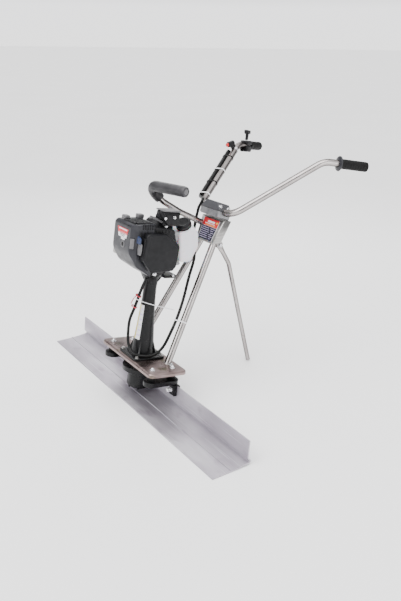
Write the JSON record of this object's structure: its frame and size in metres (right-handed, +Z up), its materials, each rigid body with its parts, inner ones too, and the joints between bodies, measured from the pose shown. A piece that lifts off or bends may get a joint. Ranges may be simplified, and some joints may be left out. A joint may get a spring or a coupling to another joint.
{
  "type": "power screed",
  "caption": "Walk-behind vibrating screed: long L-section aluminium blade, exciter and small petrol engine on a column, tube frame with raised V handlebar and prop stand.",
  "frame": {"origin": "centre of the blade's flat sole, on the surface that the machine stands on", "axes": "+X along the blade, +Y towards the operator and the handlebar, +Z up"},
  "size_m": [1.2, 0.873, 0.9125],
  "materials": {
    "mill_aluminium": "mill finish, lightly scratched",
    "cast_aluminium": "as cast",
    "polished_steel": "polished stainless tube and sheet",
    "machined_steel": "machined",
    "black_casting": "semi-gloss black paint",
    "black_plastic": "fine grain black",
    "grey_plastic": "satin dark grey",
    "black_rubber": "matt",
    "tank_plastic": "translucent natural polyethylene",
    "red_plastic": "gloss red",
    "blue_plastic": "gloss blue"
  },
  "bodies": {
    "frame": {"blade": "mill_aluminium", "carriage": "black_casting", "exciter_housing": "black_casting", "exciter_cover": "black_casting", "exciter_bearing": "machined_steel", "isolator_1": "black_rubber", "isolator_2": "black_rubber", "isolator_3": "black_rubber", "isolator_4": "black_rubber", "clamp_jaw_near": "black_casting", "clamp_jaw_far": "black_casting", "clamp_bolt_near": "machined_steel", "clamp_bolt_far": "machined_steel", "base_plate": "polished_steel", "column": "black_casting", "column_bearing": "machined_steel", "clutch_housing": "black_casting", "leg_near": "polished_steel", "leg_far": "polished_steel", "bracket_box": "polished_steel", "clamp_base": "cast_aluminium", "clamp_cap": "cast_aluminium", "stand_bolt": "machined_steel", "lift_tube": "polished_steel", "lift_grip": "black_rubber", "fan_cover": "black_plastic", "crankcase": "cast_aluminium", "cylinder": "cast_aluminium", "piston": "cast_aluminium", "spark_plug": "black_plastic", "engine_cover": "grey_plastic", "muffler": "machined_steel", "carburettor": "cast_aluminium", "air_filter_cover": "black_plastic", "air_filter": "black_rubber", "fuel_tank": "tank_plastic", "tank_bracket": "machined_steel", "recoil_housing": "black_plastic", "control_cable_lower": "black_rubber"},
    "handlebar": {"handlebar": "polished_steel", "grip_near": "black_rubber", "grip_far": "black_rubber", "throttle_housing": "black_plastic", "stop_switch": "black_plastic", "control_cable_upper": "black_rubber"},
    "throttle_lever": {"throttle_lever": "black_plastic"},
    "stop_button": {"stop_button": "red_plastic"},
    "stand": {"kickstand": "polished_steel"},
    "primer_bulb": {"primer_bulb": "black_rubber"},
    "choke_lever": {"choke_lever": "blue_plastic"},
    "fuel_cap": {"fuel_cap": "black_plastic"},
    "starter_handle": {"starter_handle": "black_plastic"},
    "starter_pulley": {"starter_pulley": "black_plastic"},
    "crank": {"crankshaft": "machined_steel", "flywheel": "cast_aluminium", "clutch_shoe_1": "machined_steel", "clutch_shoe_2": "machined_steel"},
    "drive": {"clutch_drum": "machined_steel", "drive_shaft": "machined_steel", "eccentric_weight": "machined_steel"}
  },
  "joints": [
    {"name": "bar_tilt", "type": "hinge", "parent": "frame", "child": "handlebar", "pos_m": [0, 0.38586, 0.66526], "axis": [1, 0, 0], "range_deg": [-25, 15]},
    {"name": "throttle", "type": "hinge", "parent": "handlebar", "child": "throttle_lever", "pos_m": [-0.27309, 0.73265, 0.87032], "axis": [0.9358, 0.3525, 0], "range_deg": [0, 50]},
    {"name": "stop_press", "type": "slide", "parent": "handlebar", "child": "stop_button", "axis": [0, 0.9762, 0.2169], "range_m": [0, 0.004], "stiffness_N_per_m": 400, "springref_m": -0.0005},
    {"name": "stand_fold", "type": "hinge", "parent": "frame", "child": "stand", "pos_m": [0, 0.40316, 0.52802], "axis": [1, 0, 0], "range_deg": [-42, 0]},
    {"name": "primer_press", "type": "slide", "parent": "frame", "child": "primer_bulb", "axis": [0, 0.9883, -0.1523], "range_m": [0, 0.0045], "stiffness_N_per_m": 300, "springref_m": -0.0005},
    {"name": "choke", "type": "hinge", "parent": "frame", "child": "choke_lever", "pos_m": [0.0845, 0.01699, 0.61687], "axis": [0, 0.9883, -0.1523], "range_deg": [0, 60]},
    {"name": "cap_turn", "type": "hinge", "parent": "frame", "child": "fuel_cap", "pos_m": [0.033, 0.22398, 0.63253], "axis": [0.2999, -0.4246, 0.8543], "continuous": true},
    {"name": "starter_pull", "type": "slide", "parent": "frame", "child": "starter_handle", "axis": [1, 0, 0], "range_m": [0, 0.45], "stiffness_N_per_m": 40, "springref_m": -0.1},
    {"name": "pulley_spin", "type": "hinge", "parent": "frame", "child": "starter_pulley", "pos_m": [0, 0.13275, 0.63141], "axis": [0, 0.1523, 0.9883], "range_deg": [0, 840]},
    {"name": "crank_spin", "type": "hinge", "parent": "frame", "child": "crank", "pos_m": [0, 0.12072, 0.55333], "axis": [0, 0.1523, 0.9883], "continuous": true},
    {"name": "drive_spin", "type": "hinge", "parent": "frame", "child": "drive", "pos_m": [0, 0.07503, 0.25683], "axis": [0, 0.1523, 0.9883], "continuous": true}
  ],
  "couplings": [
    {"joint": "pulley_spin", "follows": "starter_pull", "rad_per_m": 32.258}
  ]
}
